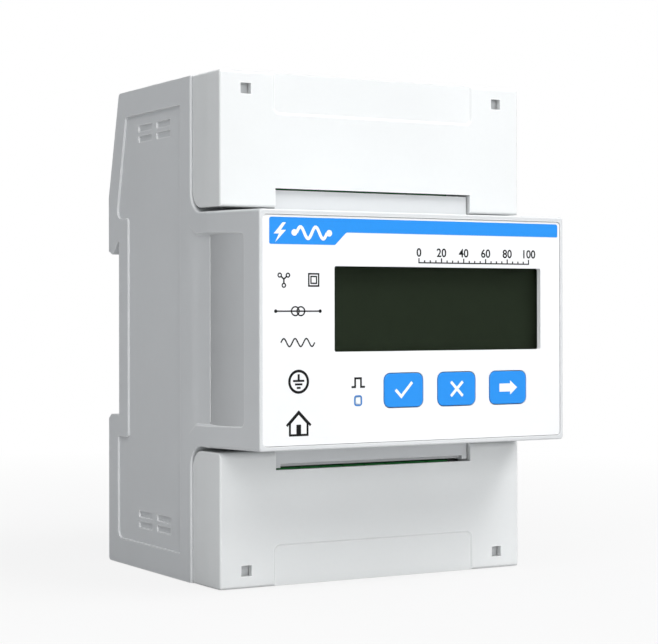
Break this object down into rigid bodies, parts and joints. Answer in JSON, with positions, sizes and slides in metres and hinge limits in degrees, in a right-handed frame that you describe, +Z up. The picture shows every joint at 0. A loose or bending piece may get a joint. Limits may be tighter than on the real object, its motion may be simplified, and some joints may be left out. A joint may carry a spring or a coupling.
{
  "type": "smart electric meter",
  "caption": "Rail-mounted three-phase electricity meter with a protruding display nose, push keys, hinged flip covers over its terminals and a sliding rail latch.",
  "frame": {"origin": "on the rear slot floor that rests on the rail, at the rail's centre line and the meter's middle", "axes": "+X to the right seen from the front, the display faces -Y, +Y towards the rail and the wall, +Z up"},
  "size_m": [0.072, 0.0655, 0.1008],
  "materials": {
    "casing": "fine satin moulding",
    "covers": "fine satin moulding",
    "front_panel": "smooth printed film",
    "clear_window": "polished clear plastic",
    "display_glass": "dark unlit display",
    "keys": "smooth blue",
    "lamp": "milky",
    "terminals": "satin",
    "circuit_board": "solder resist",
    "black_parts": "moulded",
    "varistors": "dipped coating",
    "ribbon": "flat cable",
    "latch": "satin",
    "steel": "zinc plated"
  },
  "bodies": {
    "casing": {"rear_base": "casing", "main_housing": "casing", "faceplate": "front_panel", "display_window": "clear_window", "lcd_panel": "display_glass", "lcd_holder": "front_panel", "tact_switch_1": "steel", "tact_switch_2": "steel", "tact_switch_3": "steel", "pulse_light_pipe": "lamp", "pulse_led": "lamp", "display_board": "circuit_board", "main_board": "circuit_board", "display_ribbon": "ribbon", "ribbon_socket_front": "black_parts", "ribbon_socket_rear": "black_parts", "top_terminal_block": "terminals", "bottom_terminal_block": "terminals", "top_terminal_screw_1": "steel", "top_terminal_screw_2": "steel", "top_terminal_screw_3": "steel", "top_terminal_screw_4": "steel", "bottom_terminal_screw_1": "steel", "bottom_terminal_screw_2": "steel", "bottom_terminal_screw_3": "steel", "bottom_terminal_screw_4": "steel", "bottom_terminal_screw_5": "steel", "bottom_terminal_screw_6": "steel", "bottom_terminal_screw_7": "steel", "bottom_terminal_screw_8": "steel", "supply_transformer": "black_parts", "supply_capacitor_1": "black_parts", "supply_capacitor_2": "black_parts", "varistor_1": "varistors", "varistor_2": "varistors", "varistor_3": "varistors", "metering_chip": "black_parts", "controller_chip": "black_parts", "bus_transceiver": "black_parts", "latch_spring": "steel", "case_screw_1": "steel", "case_screw_2": "steel", "case_screw_3": "steel", "case_screw_4": "steel"},
    "upper_flip_cover": {"top_cover": "covers"},
    "lower_flip_cover": {"bottom_cover": "covers"},
    "enter_key": {"button_enter": "keys", "key_plunger_1": "black_parts"},
    "cancel_key": {"button_cancel": "keys", "key_plunger_2": "black_parts"},
    "next_key": {"button_next": "keys", "key_plunger_3": "black_parts"},
    "rail_latch": {"din_latch": "latch"}
  },
  "joints": [
    {"name": "top_cover_hinge", "type": "hinge", "parent": "casing", "child": "upper_flip_cover", "pos_m": [0, -0.0433, 0.026], "axis": [1, 0, 0], "range_deg": [0, 90]},
    {"name": "bottom_cover_hinge", "type": "hinge", "parent": "casing", "child": "lower_flip_cover", "pos_m": [0, -0.0433, -0.026], "axis": [-1, 0, 0], "range_deg": [0, 90]},
    {"name": "enter_press", "type": "slide", "parent": "casing", "child": "enter_key", "axis": [0, 1, 0], "range_m": [0, 0.0006], "stiffness_N_per_m": 600},
    {"name": "cancel_press", "type": "slide", "parent": "casing", "child": "cancel_key", "axis": [0, 1, 0], "range_m": [0, 0.0006], "stiffness_N_per_m": 600},
    {"name": "next_press", "type": "slide", "parent": "casing", "child": "next_key", "axis": [0, 1, 0], "range_m": [0, 0.0006], "stiffness_N_per_m": 600},
    {"name": "latch_pull", "type": "slide", "parent": "casing", "child": "rail_latch", "axis": [0, 0, -1], "range_m": [0, 0.004], "deforming": ["latch_spring"]}
  ]
}
